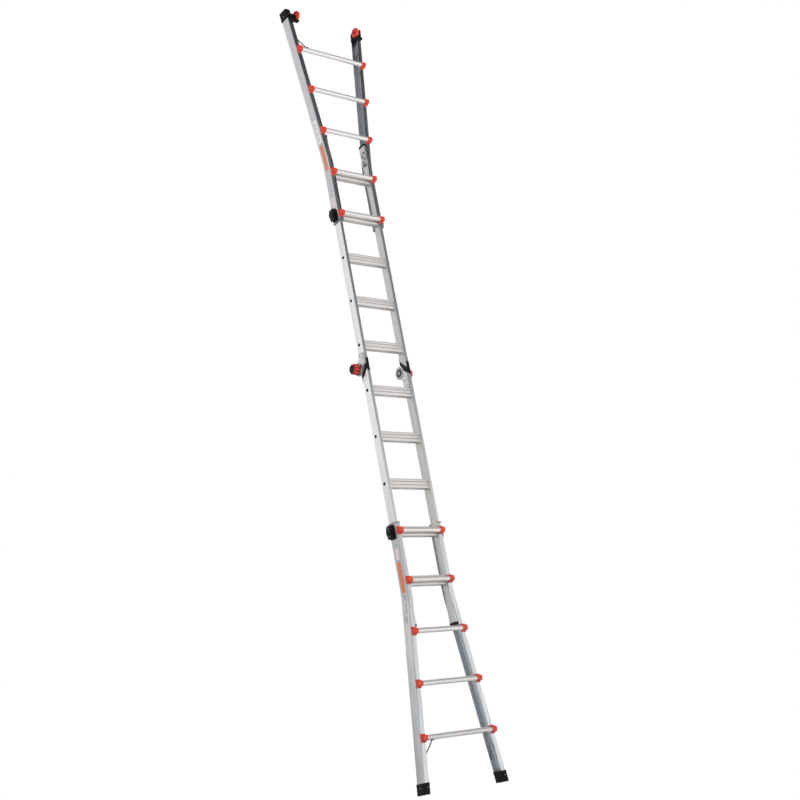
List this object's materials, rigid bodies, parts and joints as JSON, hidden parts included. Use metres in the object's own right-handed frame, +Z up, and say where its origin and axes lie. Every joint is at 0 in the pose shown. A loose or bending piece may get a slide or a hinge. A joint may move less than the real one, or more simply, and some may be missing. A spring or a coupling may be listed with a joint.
{
  "type": "extension ladder",
  "caption": "Articulated telescoping aluminium ladder set up straight, with flared outer sections, locking centre hinges, rung locks, rubber feet and tip wheels.",
  "frame": {"origin": "on the ground midway between the two feet, in the middle of the depth", "axes": "+Z up along the rails, -Y towards the climber, who faces the round rungs of the outer sections, +X to that climber's right"},
  "size_m": [0.6426, 0.174, 5.1816],
  "materials": {
    "rail_aluminium": "satin extruded",
    "rung_aluminium": "satin extruded, grooved",
    "cast_aluminium": "satin cast",
    "steel": "zinc plated",
    "black_plastic": "moulded",
    "black_rubber": "moulded",
    "red_plastic": "moulded"
  },
  "bodies": {
    "lower_outer": {"lower_outer_rail_left": "rail_aluminium", "lower_outer_rail_right": "rail_aluminium", "lower_outer_rung_1": "rung_aluminium", "lower_outer_rung_2": "rung_aluminium", "lower_outer_rung_3": "rung_aluminium", "lower_outer_rung_4": "rung_aluminium", "lower_outer_rung_5": "rung_aluminium", "lower_brace_left": "steel", "lower_lock_housing_left": "black_plastic", "lower_brace_right": "steel", "lower_lock_housing_right": "black_plastic", "foot_left": "black_rubber", "foot_right": "black_rubber"},
    "lower_inner": {"lower_inner_rail_left": "rail_aluminium", "lower_inner_rail_right": "rail_aluminium", "lower_inner_rung_1": "rung_aluminium", "lower_inner_rung_2": "rung_aluminium", "lower_inner_rung_3": "rung_aluminium", "lower_inner_rung_4": "rung_aluminium", "lower_inner_rung_5": "rung_aluminium", "hinge_lower_plate_left": "cast_aluminium", "hinge_pin_left": "steel", "hinge_lower_plate_right": "cast_aluminium", "hinge_pin_right": "steel"},
    "lower_lock_rocker_left": {"lower_lock_rocker_left": "black_plastic"},
    "lower_lock_pin_left": {"lower_lock_pin_left": "steel"},
    "lower_lock_rocker_right": {"lower_lock_rocker_right": "black_plastic"},
    "lower_lock_pin_right": {"lower_lock_pin_right": "steel"},
    "upper_outer": {"upper_outer_rail_left": "rail_aluminium", "upper_outer_rail_right": "rail_aluminium", "upper_outer_rung_1": "rung_aluminium", "upper_outer_rung_2": "rung_aluminium", "upper_outer_rung_3": "rung_aluminium", "upper_outer_rung_4": "rung_aluminium", "upper_outer_rung_5": "rung_aluminium", "upper_brace_left": "steel", "upper_lock_housing_left": "black_plastic", "upper_brace_right": "steel", "upper_lock_housing_right": "black_plastic", "wheel_boot_left": "black_rubber", "wheel_axle_left": "steel", "wheel_boot_right": "black_rubber", "wheel_axle_right": "steel"},
    "upper_inner": {"upper_inner_rail_left": "rail_aluminium", "upper_inner_rail_right": "rail_aluminium", "upper_inner_rung_1": "rung_aluminium", "upper_inner_rung_2": "rung_aluminium", "upper_inner_rung_3": "rung_aluminium", "upper_inner_rung_4": "rung_aluminium", "upper_inner_rung_5": "rung_aluminium", "hinge_upper_plate_left": "cast_aluminium", "hinge_upper_plate_right": "cast_aluminium"},
    "upper_lock_rocker_left": {"upper_lock_rocker_left": "black_plastic"},
    "upper_lock_pin_left": {"upper_lock_pin_left": "steel"},
    "upper_lock_rocker_right": {"upper_lock_rocker_right": "black_plastic"},
    "upper_lock_pin_right": {"upper_lock_pin_right": "steel"},
    "hinge_knob_left": {"hinge_knob_left": "red_plastic"},
    "wheel_left": {"wheel_left": "red_plastic"},
    "hinge_knob_right": {"hinge_knob_right": "red_plastic"},
    "wheel_right": {"wheel_right": "red_plastic"}
  },
  "joints": [
    {"name": "lower_slide", "type": "slide", "parent": "lower_outer", "child": "lower_inner", "axis": [0, 0, 1], "range_m": [-0.9144, 0.3048]},
    {"name": "fold", "type": "hinge", "parent": "lower_inner", "child": "upper_inner", "pos_m": [0, 0.045, 2.5908], "axis": [-1, 0, 0], "range_deg": [0, 180]},
    {"name": "upper_slide", "type": "slide", "parent": "upper_inner", "child": "upper_outer", "axis": [0, 0, 1], "range_m": [-0.9144, 0.3048]},
    {"name": "knob_left_push", "type": "slide", "parent": "upper_inner", "child": "hinge_knob_left", "axis": [1, 0, 0], "range_m": [0, 0.008], "stiffness_N_per_m": 800, "springref_m": -0.008},
    {"name": "knob_right_push", "type": "slide", "parent": "upper_inner", "child": "hinge_knob_right", "axis": [-1, 0, 0], "range_m": [0, 0.008], "stiffness_N_per_m": 800, "springref_m": -0.008},
    {"name": "lower_rocker_left", "type": "hinge", "parent": "lower_outer", "child": "lower_lock_rocker_left", "pos_m": [-0.194, 0.01, 1.524], "axis": [0, 1, 0], "range_deg": [-10, 10]},
    {"name": "lower_pin_left", "type": "slide", "parent": "lower_outer", "child": "lower_lock_pin_left", "axis": [1, 0, 0], "range_m": [-0.006, 0.006]},
    {"name": "lower_rocker_right", "type": "hinge", "parent": "lower_outer", "child": "lower_lock_rocker_right", "pos_m": [0.194, 0.01, 1.524], "axis": [0, 1, 0], "range_deg": [-10, 10]},
    {"name": "lower_pin_right", "type": "slide", "parent": "lower_outer", "child": "lower_lock_pin_right", "axis": [-1, 0, 0], "range_m": [-0.006, 0.006]},
    {"name": "upper_rocker_left", "type": "hinge", "parent": "upper_outer", "child": "upper_lock_rocker_left", "pos_m": [-0.194, 0.01, 3.6576], "axis": [0, 1, 0], "range_deg": [-10, 10]},
    {"name": "upper_pin_left", "type": "slide", "parent": "upper_outer", "child": "upper_lock_pin_left", "axis": [1, 0, 0], "range_m": [-0.006, 0.006]},
    {"name": "upper_rocker_right", "type": "hinge", "parent": "upper_outer", "child": "upper_lock_rocker_right", "pos_m": [0.194, 0.01, 3.6576], "axis": [0, 1, 0], "range_deg": [-10, 10]},
    {"name": "upper_pin_right", "type": "slide", "parent": "upper_outer", "child": "upper_lock_pin_right", "axis": [-1, 0, 0], "range_m": [-0.006, 0.006]},
    {"name": "wheel_left_spin", "type": "hinge", "parent": "upper_outer", "child": "wheel_left", "pos_m": [-0.25, -0.053, 5.1316], "axis": [1, 0, 0], "continuous": true},
    {"name": "wheel_right_spin", "type": "hinge", "parent": "upper_outer", "child": "wheel_right", "pos_m": [0.25, -0.053, 5.1316], "axis": [1, 0, 0], "continuous": true}
  ],
  "couplings": [
    {"joint": "lower_pin_left", "follows": "lower_rocker_left", "m_per_rad": -0.034},
    {"joint": "lower_pin_right", "follows": "lower_rocker_right", "m_per_rad": 0.034},
    {"joint": "upper_pin_left", "follows": "upper_rocker_left", "m_per_rad": 0.034},
    {"joint": "upper_pin_right", "follows": "upper_rocker_right", "m_per_rad": -0.034}
  ]
}
